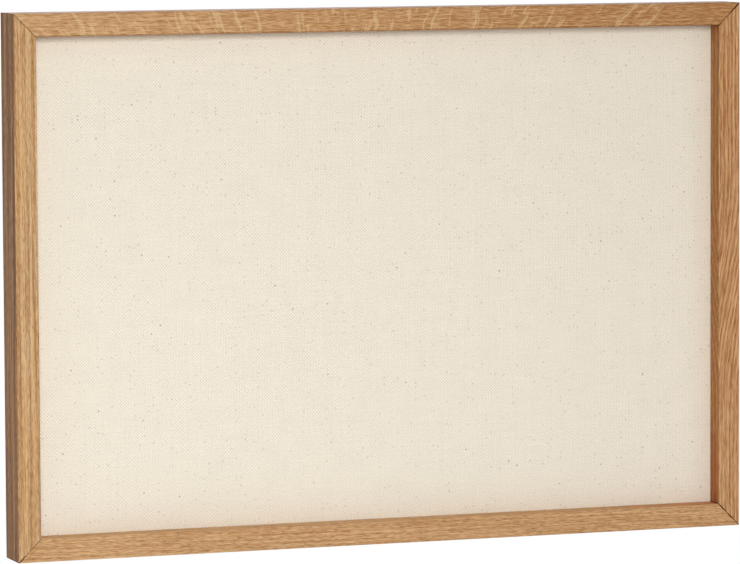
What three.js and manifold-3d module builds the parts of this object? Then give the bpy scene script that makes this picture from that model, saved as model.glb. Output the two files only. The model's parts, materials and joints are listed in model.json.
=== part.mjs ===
// Collage board: a deep mitred oak frame round a canvas-covered pin panel.
// The panel lies in the frame's rabbet, behind the lip, under a hardboard back
// that turn buttons hold in place. Two sawtooth hangers let it hang either way.
//
// Millimetres. +X is right, +Y runs from the front of the board to the wall,
// and +Z is up. The origin is on the wall, at the middle tooth of the hanger
// on the top rail. Inside the board group, Y is 0 at the front face of the
// frame and Z is 0 at its bottom edge.

import * as THREE from 'three';
import { mergeVertices } from 'three/addons/utils/BufferGeometryUtils.js';
import Module from 'manifold-3d';

const wasm = await Module();
wasm.setup();

// Frame, and the section that its four rails share.
const frameWidth = 500;
const frameHeight = 350;
const railFace = 15;
const rabbetWidth = 5;
const lipDepth = 14;
const arrisRadius = 0.7;
const mitreGap = 0.12;

// Pin panel: canvas stretched over a soft fibreboard core and stapled behind.
const canvasThickness = 0.7;
const flapWidth = 28;
const canvasCornerRadius = 1.5;
const foldMargin = 1.2;
const coreThickness = 10;
const panelPlay = 0.6;
const lipGap = 0.2;
const clothGap = 0.1;

// Back board.
const boardThickness = 3.2;
const boardGap = 0.3;
const boardCornerRadius = 1;

// Staples through the canvas flaps.
const stapleCrown = 10;
const stapleWire = 0.5;
const stapleWidth = 1.2;
const stapleLeg = 6;
const stapleSlotGap = 0.2;
const stapleInset = 17;
const stapleEndMargin = 48;
const longSideStaples = 6;
const shortSideStaples = 4;

// V-shaped nails driven across the mitres from behind.
const vNailLeg = 4.4;
const vNailHalfAngle = Math.PI / 3;
const vNailThickness = 0.5;
const vNailHeight = 7;
const vNailInset = 0.3;
const vNailSlotGap = 0.2;
const vNailPlaceShare = 0.42;

// Turn buttons, and the pan-head screws that they turn on.
const buttonPivotRadius = 4.2;
const buttonTipRadius = 3;
const buttonReach = 16;
const buttonThickness = 1.2;
const buttonSeatGap = 0.2;
const longButtonShare = 0.26;
const shortButtonShare = 0.25;
const screwShankRadius = 1.5;
const screwLength = 14;
const screwPoint = 3;
const screwHeadRadius = 3.3;
const screwHeadHeight = 1.9;
const screwHeadRim = 0.7;
const screwHeadGap = 0.15;
const screwRunningGap = 0.15;
const screwPilotGap = 0.2;
const recessWidth = 0.8;
const recessSpan = 3.4;
const recessDepth = 1.1;

// Sawtooth hangers: a joggled strip with a toothed inner edge, and its nails.
const hangerLength = 46;
const hangerHeight = 8.4;
const hangerThickness = 0.8;
const hangerTab = 8;
const hangerRamp = 2.6;
const hangerRise = 1.4;
const hangerCornerRadius = 1.6;
const hangerSeatGap = 0.1;
const hangerEdge = 0.8;
const toothDepth = 2;
const toothPitch = 3.2;
const toothCount = 7;
const nailShankRadius = 0.7;
const nailLength = 10;
const nailPoint = 1.6;
const nailHeadRadius = 1.7;
const nailHeadHeight = 0.7;
const nailHeadRim = 0.3;
const nailHeadGap = 0.1;
const nailHoleGap = 0.2;

// Wall pads stuck to the back of the frame near its corners.
const padRadius = 4.4;
const padThickness = 4;
const padEdge = 0.5;
const padGap = 0.1;
const padCornerMargin = 24;

// How far cutting shapes run past what they cut, and when two vertices are one.
const overrun = 1;
const weldDistance = 0.0001;

// Smoothness of rounds, as segments.
const arrisSegments = 4;
const cornerSegments = 6;
const tipSegments = 8;
const latheSegments = 24;
const domeSteps = 4;

// How far out from the axis the dome of a fastener's head keeps its full
// height, as a share of the head's radius.
const domeShoulderShare = 0.85;

// Places along the depth, from the front face backwards.
const canvasFront = lipDepth + lipGap;
const coreFront = canvasFront + canvasThickness + clothGap;
const coreBack = coreFront + coreThickness;
const flapFront = coreBack + clothGap;
const canvasBack = flapFront + canvasThickness;
const stapleSeat = canvasBack + clothGap;
const boardFront = canvasBack + Math.max(canvasThickness, clothGap + stapleWire) + boardGap;
const railDepth = boardFront + boardThickness;
const buttonSeat = railDepth + buttonSeatGap;
const screwSeat = buttonSeat + buttonThickness + screwHeadGap;
const hangerSeat = railDepth + hangerSeatGap;
const nailSeat = hangerSeat + hangerThickness + nailHeadGap;
const wallPlane = railDepth + padGap + padThickness;

// Places across the section, from the outer edge of the frame inwards.
const landWidth = railFace - rabbetWidth;
const landMiddle = landWidth / 2;
const panelEdge = landWidth + panelPlay;
const hangerToothTip = hangerEdge + hangerHeight;
const hangLine = hangerToothTip - toothDepth;

// Panel and core, seen from the front.
const panelWidth = frameWidth - 2 * panelEdge;
const panelHeight = frameHeight - 2 * panelEdge;
const coreInset = canvasThickness + clothGap;
const coreWidth = panelWidth - 2 * coreInset;
const coreHeight = panelHeight - 2 * coreInset;

// The four sides, each named with its own ends and with the corner at its
// positive end. A side's X runs along its rail, and its Z inwards.
const sides = [
  {
    name: 'bottom', ends: ['left', 'right'], corner: 'bottom_right', isLong: true,
    turn: 0, x: 0, z: 0,
  },
  {
    name: 'right', ends: ['lower', 'upper'], corner: 'top_right', isLong: false,
    turn: -Math.PI / 2, x: frameWidth / 2, z: frameHeight / 2,
  },
  {
    name: 'top', ends: ['right', 'left'], corner: 'top_left', isLong: true,
    turn: Math.PI, x: 0, z: frameHeight,
  },
  {
    name: 'left', ends: ['upper', 'lower'], corner: 'bottom_left', isLong: false,
    turn: Math.PI / 2, x: -frameWidth / 2, z: frameHeight / 2,
  },
];

function finish(color, roughness, metalness) {
  return () => new THREE.MeshStandardMaterial({ color, roughness, metalness });
}

const oak = finish(0xc39a6b, 0.55, 0);
const canvas = finish(0xece3d2, 0.95, 0);
const fibreboard = finish(0xa98a63, 0.95, 0);
const hardboard = finish(0x7c5a3c, 0.7, 0);
const zincSteel = finish(0xb9bcc0, 0.35, 1);
const brassedSteel = finish(0xb99a58, 0.35, 1);
const greyRubber = finish(0x4a4744, 0.8, 0);

// Turns a closed three.js geometry into a solid that can be cut or joined.
function solidOf(geometry) {
  const plain = geometry.clone();
  plain.deleteAttribute('normal');
  plain.deleteAttribute('uv');
  const merged = mergeVertices(plain, weldDistance);
  const corners = merged.index.array;
  const triangles = [];
  for (let i = 0; i < corners.length; i += 3) {
    const [a, b, c] = corners.slice(i, i + 3);
    if (a !== b && b !== c && c !== a) triangles.push(a, b, c);
  }
  return new wasm.Manifold(new wasm.Mesh({
    numProp: 3,
    vertProperties: new Float32Array(merged.attributes.position.array),
    triVerts: new Uint32Array(triangles),
  }));
}

function geometryOf(solid) {
  const mesh = solid.getMesh();
  const indexed = new THREE.BufferGeometry();
  indexed.setAttribute('position', new THREE.BufferAttribute(mesh.vertProperties, 3));
  indexed.setIndex(new THREE.BufferAttribute(mesh.triVerts, 1));
  const geometry = indexed.toNonIndexed();
  geometry.computeVertexNormals();
  return geometry;
}

function cut(geometry, tools) {
  const solid = tools.reduce((rest, tool) => rest.subtract(solidOf(tool)), solidOf(geometry));
  return geometryOf(solid);
}

function named(name, geometry, material) {
  const mesh = new THREE.Mesh(geometry, material());
  mesh.name = name;
  return mesh;
}

// An outline through corners given as [x, y, radius], each rounded by its radius.
function roundedOutline(corners) {
  const shape = new THREE.Shape();
  corners.forEach(([x, y, radius], i) => {
    const corner = new THREE.Vector2(x, y);
    const [beforeX, beforeY] = corners.at(i - 1);
    const [afterX, afterY] = corners[(i + 1) % corners.length];
    const before = new THREE.Vector2(beforeX, beforeY).sub(corner).setLength(radius);
    const after = new THREE.Vector2(afterX, afterY).sub(corner).setLength(radius);
    if (i === 0) {
      shape.moveTo(x + before.x, y + before.y);
    } else {
      shape.lineTo(x + before.x, y + before.y);
    }
    if (radius > 0) shape.quadraticCurveTo(x, y, x + after.x, y + after.y);
  });
  shape.closePath();
  return shape;
}

function rectangle(width, height, radius) {
  return roundedOutline([
    [-width / 2, -height / 2, radius],
    [width / 2, -height / 2, radius],
    [width / 2, height / 2, radius],
    [-width / 2, height / 2, radius],
  ]);
}

function circle(x, y, radius) {
  return new THREE.Path().absarc(x, y, radius, 0, 2 * Math.PI, false);
}

// A flat piece: the shape's X stays X, its Y becomes Z, and its thickness runs
// along +Y from 0.
function plate(shape, thickness, curveSegments = cornerSegments) {
  const geometry = new THREE.ExtrudeGeometry(shape, {
    depth: thickness, bevelEnabled: false, curveSegments,
  });
  return geometry.rotateX(Math.PI / 2).translate(0, thickness, 0);
}

// A round tool along Y, for pilot holes: from a depth up past the back face.
function pilotHole(x, z, radius, deepest) {
  const height = railDepth + overrun - deepest;
  return new THREE.CylinderGeometry(radius, radius, height, latheSegments)
    .translate(x, deepest + height / 2, z);
}

function sideLength(side) {
  return side.isLong ? frameWidth : frameHeight;
}

// Where turn buttons, hanger nails and wall pads sit along a side.
function buttonPlaces(side) {
  const place = side.isLong ? longButtonShare * frameWidth : shortButtonShare * frameHeight;
  return [-place, place];
}

function hasHanger(side) {
  return side.name === 'top' || side.name === 'left';
}

const nailPlace = (hangerLength - hangerTab) / 2;

// Frame at one end of a side's mitre line: X across the mitre, Y inwards along
// it from the outer corner, and Z from the back face into the wood.
function mitreMatrix(side, end) {
  const inwards = new THREE.Vector3(-end, 0, 1).normalize();
  const intoWood = new THREE.Vector3(0, -1, 0);
  const across = new THREE.Vector3().crossVectors(inwards, intoWood);
  return new THREE.Matrix4()
    .makeBasis(across, inwards, intoWood)
    .setPosition((end * sideLength(side)) / 2, railDepth, 0);
}

// A strip bent into a V that opens inwards, grown all round by a clearance.
function vNailOutline(grow) {
  const half = vNailThickness / 2 + grow;
  const leg = vNailLeg + grow;
  const apex = half / Math.sin(vNailHalfAngle);
  const along = new THREE.Vector2(Math.sin(vNailHalfAngle), Math.cos(vNailHalfAngle));
  const outer = new THREE.Vector2(along.y, -along.x).multiplyScalar(half);
  const tip = along.clone().multiplyScalar(leg);
  return roundedOutline([
    [0, -apex, 0],
    [tip.x + outer.x, tip.y + outer.y, 0],
    [tip.x - outer.x, tip.y - outer.y, 0],
    [0, apex, 0],
    [outer.x - tip.x, tip.y - outer.y, 0],
    [-tip.x - outer.x, tip.y + outer.y, 0],
  ]);
}

function vNailGeometry(grow, start, end) {
  const place = vNailPlaceShare * landWidth * Math.SQRT2;
  const depth = end - start;
  return new THREE.ExtrudeGeometry(vNailOutline(grow), { depth, bevelEnabled: false })
    .translate(0, place, start);
}

// One rail: the section drawn out along the side, with each point of it ending
// on the mitre plane.
function railGeometry(side) {
  const section = roundedOutline([
    [0, 0, arrisRadius],
    [railFace, 0, arrisRadius],
    [railFace, lipDepth, 0],
    [landWidth, lipDepth, 0],
    [landWidth, railDepth, 0],
    [0, railDepth, arrisRadius],
  ]);
  const geometry = new THREE.ExtrudeGeometry(section, {
    depth: 1, bevelEnabled: false, curveSegments: arrisSegments,
  });
  const setBack = mitreGap * Math.SQRT1_2;
  const points = geometry.attributes.position;
  for (let i = 0; i < points.count; i++) {
    const inwards = points.getX(i);
    const end = sideLength(side) / 2 - inwards - setBack;
    points.setXYZ(i, (1 - 2 * points.getZ(i)) * end, points.getY(i), inwards);
  }
  const screwTip = screwSeat - screwLength - screwPilotGap;
  const tools = buttonPlaces(side).map((x) => (
    pilotHole(x, landMiddle, screwShankRadius + screwPilotGap, screwTip)
  ));
  for (const end of [-1, 1]) {
    const slotEnd = vNailInset + vNailHeight + vNailSlotGap;
    const slot = vNailGeometry(vNailSlotGap, -overrun, slotEnd);
    tools.push(slot.applyMatrix4(mitreMatrix(side, end)));
    if (hasHanger(side)) {
      const nailTip = nailSeat - nailLength - nailHoleGap;
      const radius = nailShankRadius + nailHoleGap;
      tools.push(pilotHole(end * nailPlace, hangerEdge + hangerHeight / 2, radius, nailTip));
    }
  }
  return cut(geometry, tools);
}

function vNail(side) {
  const geometry = vNailGeometry(0, vNailInset, vNailInset + vNailHeight);
  const mesh = named(`v_nail_${side.corner}`, geometry, zincSteel);
  const matrix = mitreMatrix(side, 1);
  mesh.position.setFromMatrixPosition(matrix);
  mesh.quaternion.setFromRotationMatrix(matrix);
  return mesh;
}

// A teardrop plate, pivoting at its wide end and reaching inwards to its tip.
function turnButtonGeometry() {
  const lean = Math.asin((buttonPivotRadius - buttonTipRadius) / buttonReach);
  const outline = new THREE.Shape();
  outline.absarc(0, 0, buttonPivotRadius, Math.PI - lean, 2 * Math.PI + lean, false);
  outline.absarc(0, buttonReach, buttonTipRadius, lean, Math.PI - lean, false);
  outline.closePath();
  outline.holes.push(circle(0, 0, screwShankRadius + screwRunningGap));
  return plate(outline, buttonThickness, tipSegments);
}

// A turned fastener along Y with its head's underside at 0, so that its shank
// points into the wood.
function fastenerGeometry(shank, length, point, head, headHeight, rim) {
  const dome = new THREE.QuadraticBezierCurve(
    new THREE.Vector2(head, rim),
    new THREE.Vector2(head * domeShoulderShare, headHeight),
    new THREE.Vector2(0, headHeight),
  );
  const profile = [
    new THREE.Vector2(0, -length),
    new THREE.Vector2(shank, point - length),
    new THREE.Vector2(shank, 0),
    new THREE.Vector2(head, 0),
    ...dome.getPoints(domeSteps),
  ];
  return new THREE.LatheGeometry(profile, latheSegments);
}

function screwGeometry() {
  const screw = fastenerGeometry(
    screwShankRadius, screwLength, screwPoint, screwHeadRadius, screwHeadHeight, screwHeadRim,
  );
  const height = recessDepth + overrun;
  const middle = screwHeadHeight - recessDepth + height / 2;
  return cut(screw, [
    new THREE.BoxGeometry(recessSpan, height, recessWidth).translate(0, middle, 0),
    new THREE.BoxGeometry(recessWidth, height, recessSpan).translate(0, middle, 0),
  ]);
}

// The strip is bent in one view and punched in the other: what both views
// share is the hanger.
function hangerGeometry() {
  const half = hangerLength / 2;
  const bend = half - hangerTab;
  const crest = bend - hangerRamp;
  const under = [[-half, 0], [-bend, 0], [-crest, hangerRise], [crest, hangerRise], [bend, 0], [half, 0]];
  const over = under.map(([x, y]) => [x, y + hangerThickness]).reverse();
  const strip = new THREE.ExtrudeGeometry(
    roundedOutline([...under, ...over].map(([x, y]) => [x, y, 0])),
    { depth: hangerHeight, bevelEnabled: false },
  ).translate(0, 0, hangerEdge);

  const teeth = [];
  for (let i = 0; i < toothCount; i++) {
    const middle = ((toothCount - 1) / 2 - i) * toothPitch;
    teeth.push([middle + toothPitch / 2, hangerToothTip, 0], [middle, hangLine, 0]);
  }
  teeth.push([(-toothCount * toothPitch) / 2, hangerToothTip, 0]);
  const punched = roundedOutline([
    [-half, hangerEdge, hangerCornerRadius],
    [half, hangerEdge, hangerCornerRadius],
    [half, hangerToothTip, hangerCornerRadius],
    ...teeth,
    [-half, hangerToothTip, hangerCornerRadius],
  ]);
  for (const x of [-nailPlace, nailPlace]) {
    punched.holes.push(circle(x, hangerEdge + hangerHeight / 2, nailShankRadius + nailHoleGap));
  }
  const height = hangerRise + hangerThickness + 2 * overrun;
  const punch = plate(punched, height).translate(0, -overrun, 0);
  return geometryOf(solidOf(strip).intersect(solidOf(punch)));
}

function padGeometry() {
  const profile = [
    new THREE.Vector2(0, 0),
    new THREE.Vector2(padRadius, 0),
    new THREE.Vector2(padRadius, padThickness - padEdge),
    new THREE.Vector2(padRadius - padEdge, padThickness),
    new THREE.Vector2(0, padThickness),
  ];
  return new THREE.LatheGeometry(profile, latheSegments);
}

// Staple centres along a side, evenly spread between its end margins.
function staplePlaces(side) {
  const count = side.isLong ? longSideStaples : shortSideStaples;
  const span = sideLength(side) - 2 * stapleEndMargin;
  return Array.from({ length: count }, (_, i) => (i / (count - 1) - 1 / 2) * span);
}

const stapleLine = panelEdge + stapleInset;

function stapleGeometry() {
  const half = stapleCrown / 2;
  const inner = half - stapleWire;
  const outline = roundedOutline([
    [-half, -stapleLeg, 0],
    [-inner, -stapleLeg, 0],
    [-inner, 0, 0],
    [inner, 0, 0],
    [inner, -stapleLeg, 0],
    [half, -stapleLeg, 0],
    [half, stapleWire, stapleWire / 2],
    [-half, stapleWire, stapleWire / 2],
  ]);
  return new THREE.ExtrudeGeometry(outline, { depth: stapleWidth, bevelEnabled: false })
    .translate(0, 0, -stapleWidth / 2);
}

function stapleSlots(side) {
  const placed = new THREE.Matrix4()
    .makeRotationY(side.turn)
    .setPosition(side.x, 0, side.z);
  const deepest = stapleSeat - stapleLeg - stapleSlotGap;
  const height = stapleSeat + overrun - deepest;
  const legPlace = (stapleCrown - stapleWire) / 2;
  return staplePlaces(side).flatMap((x) => [-legPlace, legPlace].map((offset) => (
    new THREE.BoxGeometry(
      stapleWire + 2 * stapleSlotGap, height, stapleWidth + 2 * stapleSlotGap,
    )
      .translate(x + offset, deepest + height / 2, stapleLine)
      .applyMatrix4(placed)
  )));
}

// A slab in the board group, centred on the frame, between two depths.
function slab(width, height, radius, front, back) {
  return plate(rectangle(width, height, radius), back - front)
    .translate(0, front, frameHeight / 2);
}

function coreGeometry() {
  const blank = slab(coreWidth, coreHeight, 0, coreFront, coreBack);
  return cut(blank, sides.flatMap(stapleSlots));
}

// The doubled layer where the canvas is folded over itself at a back corner.
function cornerFold(signX, signZ) {
  const far = flapWidth - foldMargin;
  const front = flapFront + canvasThickness / 2;
  const corner = (inX, inZ) => (
    [signX * (panelWidth / 2 - inX), signZ * (panelHeight / 2 - inZ), 0]
  );
  const outline = roundedOutline([
    corner(2 * foldMargin, foldMargin),
    corner(far, foldMargin),
    corner(far, far - foldMargin),
  ]);
  return plate(outline, canvasBack + canvasThickness - front)
    .translate(0, front, frameHeight / 2);
}

function canvasGeometry() {
  const windowWidth = panelWidth - 2 * flapWidth;
  const windowHeight = panelHeight - 2 * flapWidth;
  const outer = slab(panelWidth, panelHeight, canvasCornerRadius, canvasFront, canvasBack);
  const hollow = slab(
    panelWidth - 2 * canvasThickness, panelHeight - 2 * canvasThickness, 0,
    canvasFront + canvasThickness, flapFront,
  );
  const window = slab(windowWidth, windowHeight, 0, coreBack, canvasBack + overrun);
  let solid = solidOf(outer).subtract(solidOf(hollow)).subtract(solidOf(window));
  for (const signX of [-1, 1]) {
    for (const signZ of [-1, 1]) solid = solid.add(solidOf(cornerFold(signX, signZ)));
  }
  for (const slot of sides.flatMap(stapleSlots)) solid = solid.subtract(solidOf(slot));
  return geometryOf(solid);
}

function backBoardGeometry() {
  return slab(panelWidth, panelHeight, boardCornerRadius, boardFront, railDepth);
}

function sideGroup(side) {
  const group = new THREE.Group();
  group.position.set(side.x, 0, side.z);
  group.rotation.y = side.turn;
  const add = (mesh, x, y, z) => {
    mesh.position.set(x, y, z);
    group.add(mesh);
  };
  group.add(named(`${side.name}_rail`, railGeometry(side), oak));
  group.add(vNail(side));
  buttonPlaces(side).forEach((x, i) => {
    const place = `${side.name}_${side.ends[i]}`;
    add(named(`turn_button_${place}`, turnButtonGeometry(), zincSteel), x, buttonSeat, landMiddle);
    add(named(`button_screw_${place}`, screwGeometry(), zincSteel), x, screwSeat, landMiddle);
  });
  if (hasHanger(side)) {
    add(named(`${side.name}_hanger`, hangerGeometry(), brassedSteel), 0, hangerSeat, 0);
    [-nailPlace, nailPlace].forEach((x, i) => {
      const nail = fastenerGeometry(
        nailShankRadius, nailLength, nailPoint, nailHeadRadius, nailHeadHeight, nailHeadRim,
      );
      const name = `hanger_nail_${side.name}_${side.ends[i]}`;
      add(named(name, nail, brassedSteel), x, nailSeat, hangerEdge + hangerHeight / 2);
    });
  }
  if (side.isLong) {
    const place = sideLength(side) / 2 - padCornerMargin;
    [-place, place].forEach((x, i) => {
      const name = `wall_pad_${side.name}_${side.ends[i]}`;
      add(named(name, padGeometry(), greyRubber), x, railDepth + padGap, landMiddle);
    });
  }
  staplePlaces(side).forEach((x, i) => {
    add(named(`staple_${side.name}_${i + 1}`, stapleGeometry(), zincSteel), x, stapleSeat, stapleLine);
  });
  return group;
}

const board = new THREE.Group();
board.position.set(0, -wallPlane, hangLine - frameHeight);
board.add(named('panel_core', coreGeometry(), fibreboard));
board.add(named('canvas_cover', canvasGeometry(), canvas));
board.add(named('back_board', backBoardGeometry(), hardboard));
for (const side of sides) board.add(sideGroup(side));

const group = new THREE.Group();
group.add(board);

export default group;
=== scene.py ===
# %% [markdown]
# # A collage board, step by step
#
# The object is a pin board for the wall: a deep oak frame, 500 by 350 mm,
# round a panel of soft board that is covered with unbleached canvas. The canvas
# lies 14 mm behind the front of the frame, so that pinned photographs are framed
# like a picture. Behind the panel are a hardboard back, the turn buttons that
# hold it in, two sawtooth hangers and four rubber bumpers.
#
# The exact solids come from a CAD model. They are loaded as a fixed frame, and
# everything here is made around them, in metres and in the same place.

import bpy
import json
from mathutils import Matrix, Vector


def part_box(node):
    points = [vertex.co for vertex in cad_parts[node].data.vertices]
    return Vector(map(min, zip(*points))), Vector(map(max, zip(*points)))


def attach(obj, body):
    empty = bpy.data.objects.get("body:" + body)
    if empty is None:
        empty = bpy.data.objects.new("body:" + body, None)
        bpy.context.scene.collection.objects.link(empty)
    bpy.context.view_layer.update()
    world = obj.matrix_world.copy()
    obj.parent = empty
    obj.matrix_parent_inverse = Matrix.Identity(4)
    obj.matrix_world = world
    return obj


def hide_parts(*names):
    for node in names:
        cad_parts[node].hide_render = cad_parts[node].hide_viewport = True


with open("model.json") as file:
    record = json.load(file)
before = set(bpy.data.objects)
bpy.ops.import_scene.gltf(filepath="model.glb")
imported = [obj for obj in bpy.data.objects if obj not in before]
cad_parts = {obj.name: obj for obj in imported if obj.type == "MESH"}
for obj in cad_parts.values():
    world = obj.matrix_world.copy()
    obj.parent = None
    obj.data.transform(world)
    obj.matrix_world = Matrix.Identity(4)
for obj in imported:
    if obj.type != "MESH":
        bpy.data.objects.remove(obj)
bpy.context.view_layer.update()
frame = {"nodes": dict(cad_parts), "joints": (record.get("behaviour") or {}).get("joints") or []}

# %% [markdown]
# ## Tools for the whole lesson
#
# Sizes are easiest to read in millimetres, so `MM` turns them into Blender's
# metres. The centre of the board, seen from the front, is used again and again:
# for aiming the lamps, for placing the canvas and for finding the mitres. The
# face of a rail is as wide as the lowest rail is high.

# %% Imports, units and the centre of the board
import json
from math import atan2, pi, radians

import bmesh
import bpy
from mathutils import Matrix, Vector

MM = 0.001
board_low, lowest_rail_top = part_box("bottom_rail")
_, board_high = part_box("top_rail")
centre = (board_low + board_high) / 2
half_width = (board_high.x - board_low.x) / 2
half_height = (board_high.z - board_low.z) / 2
rail_face = lowest_rail_top.z - board_low.z
print("centre", centre, "half size", half_width, half_height, "rail face", rail_face)

# %% [markdown]
# ## The camera
#
# The board is seen from its left and a little from above, with a long lens, so
# that its edges stay almost parallel. The numbers come from fitting a camera to
# the corners of the frame. The lens follows from the focal length in pixels and
# the width of the picture, and the camera is turned in three steps: round the
# vertical, then down, and last a touch round its own line of sight.

# %% Place the camera
IMAGE_WIDTH_PX = 740
FOCAL_LENGTH_PX = 5025
SENSOR_WIDTH_MM = 36
CAMERA_PLACE = Vector((-1.0980, -3.1028, 0.1077))
CAMERA_YAW = radians(-19.494)
CAMERA_PITCH_DOWN = radians(4.887)
CAMERA_ROLL = radians(-0.282)

camera_data = bpy.data.cameras.new("camera")
camera_data.sensor_fit = "HORIZONTAL"
camera_data.sensor_width = SENSOR_WIDTH_MM
camera_data.lens = FOCAL_LENGTH_PX * SENSOR_WIDTH_MM / IMAGE_WIDTH_PX
camera = bpy.data.objects.new("camera", camera_data)
bpy.context.scene.collection.objects.link(camera)
camera.matrix_world = (
    Matrix.Translation(CAMERA_PLACE)
    @ Matrix.Rotation(CAMERA_YAW, 4, "Z")
    @ Matrix.Rotation(pi / 2 - CAMERA_PITCH_DOWN, 4, "X")
    @ Matrix.Rotation(CAMERA_ROLL, 4, "Z")
)
bpy.context.scene.camera = camera
print("lens", round(camera_data.lens, 1), "mm")

# %% [markdown]
# ## Writing materials
#
# Colours are easiest to choose as a screen shows them, from 0 to 255. The nodes
# of a material count light instead, and `tone` turns the one into the other.

# %% Colours as a screen shows them
def tone(red, green, blue):
    """The linear colour that nodes use for a colour as a screen shows it."""
    def linear(level):
        share = level / 255
        return share / 12.92 if share <= 0.04045 else ((share + 0.055) / 1.055) ** 2.4
    return (linear(red), linear(green), linear(blue), 1.0)


print("a middle grey is", round(tone(128, 128, 128)[0], 3), "of white in light")

# %% [markdown]
# A material is a tree of nodes. Drawing each one by hand takes four or five
# lines of code, so `Nodes` makes it one line for each: `node` adds a node, sets
# it up, and joins or fills its inputs. `step` is for nodes of which only the
# first result is used, such as sums and soft slopes.

# %% A short way to write node trees
class Nodes:
    """Writes a tree of nodes, one line for each step."""

    def __init__(self, tree):
        self.tree = tree

    def feed(self, socket, value):
        """Joins another node's result to a socket, or fills it with a number."""
        if isinstance(value, bpy.types.NodeSocket):
            self.tree.links.new(value, socket)
        else:
            socket.default_value = value

    def node(self, kind, inputs, **settings):
        made = self.tree.nodes.new("ShaderNode" + kind)
        for setting, value in settings.items():
            setattr(made, setting, value)
        for slot, value in inputs.items():
            self.feed(made.inputs[slot], value)
        return made.outputs

    def step(self, kind, inputs, **settings):
        return self.node(kind, inputs, **settings)[0]

    def math(self, operation, a, b=0.0):
        return self.step("Math", {0: a, 1: b}, operation=operation)

    def add(self, total, *others):
        for other in others:
            total = self.math("ADD", total, other)
        return total

    def less(self, a, b):
        return self.math("SUBTRACT", a, b)

    def times(self, a, b):
        return self.math("MULTIPLY", a, b)

    def between(self, value, low, high, to_low=0.0, to_high=1.0):
        """From to_low at low to to_high at high, along a soft slope."""
        inputs = {0: value, 1: low, 2: high, 3: to_low, 4: to_high}
        return self.step("MapRange", inputs, interpolation_type="SMOOTHSTEP")

    def seen(self):
        """1 to the camera, in mirrors and through glass, and 0 to all other light."""
        rays = self.node("LightPath", {})
        mirrored = self.math("MAXIMUM", rays["Is Camera Ray"], rays["Is Glossy Ray"])
        return self.math("MAXIMUM", mirrored, rays["Is Transmission Ray"])

# %% [markdown]
# A `Recipe` is the tree of one material. It starts from where a point lies on its
# object, makes patterns and colours there, and ends by feeding the shader. What
# is the same all over a surface is set on the shader itself.

# %% A recipe for one material
class Recipe(Nodes):
    def __init__(self, name):
        self.material = bpy.data.materials.new(name)
        self.material.use_nodes = True
        super().__init__(self.material.node_tree)
        self.shader = self.tree.nodes["Principled BSDF"]

    def vector(self, x, y, z):
        return self.step("CombineXYZ", {0: x, 1: y, 2: z})

    def apart(self, vector):
        """The three parts of a place or a colour."""
        return tuple(self.node("SeparateXYZ", {0: vector}))

    def place(self):
        """Where a point lies on its object, in metres."""
        return self.apart(self.node("TexCoord", {})["Object"])

    def noise(self, place, counts, detail=2.0):
        """Soft blotches, so many to the metre, or so many in each direction."""
        if not isinstance(counts, tuple):
            counts = (counts, counts, counts)
        spread = [self.times(part, count) for part, count in zip(place, counts)]
        inputs = {"Vector": self.vector(*spread), "Scale": 1.0, "Detail": detail}
        return self.step("TexNoise", inputs)

    def mix(self, share, first, second, way="MIX"):
        """Two colours, which are the seventh and eighth input of their node."""
        inputs = {0: share, 6: first, 7: second}
        return self.node("Mix", inputs, data_type="RGBA", blend_type=way)[2]

    def set(self, **constants):
        for socket, value in constants.items():
            self.shader.inputs[socket.replace("_", " ")].default_value = value

    def finish(self, colour=None, roughness=None, height=None, depth=0.1 * MM):
        """Feeds the shader, with bumps so deep, and hands over the material."""
        if colour is not None:
            self.feed(self.shader.inputs["Base Color"], colour)
        if roughness is not None:
            self.feed(self.shader.inputs["Roughness"], roughness)
        if height is not None:
            bump = self.step("Bump", {"Height": height, "Distance": depth})
            self.feed(self.shader.inputs["Normal"], bump)
        print("material", self.material.name, "with", len(self.tree.nodes), "nodes")
        return self.material

# %% [markdown]
# ## Oak
#
# Each rail is cut from its own stick of oak, and they look different: the top
# one is quarter-sawn, with pale ray flecks that fan out from its middle, the
# left one is honey coloured with wavy streaks, the bottom one is rift-sawn with
# short dark pores, and the right one has even growth rings that lean over in
# its middle. A picture of wood would repeat and would not turn round the edges,
# so the grain is solid instead: noise that is stretched along the rail.
#
# All four share one recipe. It first finds where a point lies `along` the stick
# and `across` its face. Then it bends the grain: it drifts a little everywhere,
# it leans by so much to the metre, and in one stick it is also shifted sideways
# over one stretch, so that it leans there and runs straight above and below.

# %% Find the place in a stick and bend its grain
DRIFT_COUNT = (16, 40, 40)


class Stick(Recipe):
    """A stick of oak: where a point lies in it, and how its grain runs there."""

    def __init__(self, name, upright, seed, drift, lean, bend):
        super().__init__(name)
        self.where = self.place()
        self.x, self.y, z = self.where
        self.up = self.less(z, centre.z)
        self.along, self.across = (z, self.x) if upright else (self.x, self.up)
        self.start = self.add(self.along, seed)
        sideways = self.noise((self.start, self.across, self.y), DRIFT_COUNT, detail=1.0)
        sideways = self.times(self.less(sideways, 0.5), drift)
        self.deep = self.add(self.y, sideways)
        self.drawn = self.add(self.across, sideways, self.times(self.along, lean))
        if bend:
            start, end, shift = bend
            shifted = self.between(self.along, start, end, 0.0, shift)
            self.drawn = self.add(self.drawn, shifted)

    def grain(self, stretch, fine, detail=2.0):
        """Noise along the grain: blotches to the metre along it, and across it."""
        return self.noise((self.start, self.drawn, self.deep), (stretch, fine, fine), detail)

# %% [markdown]
# How light the wood is comes from four layers, which are added up. Broad bands,
# narrower rows and short dashes are noise, and each is given as its strength and
# its blotches to the metre along the grain and across it. The growth rings come
# at an even pitch, so they are a sine wave, and they run aslant through the
# stick. A stick may also grow darker from one end to the other.

# %% Add up how light the wood is
RING_SLANT = 0.45


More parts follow.
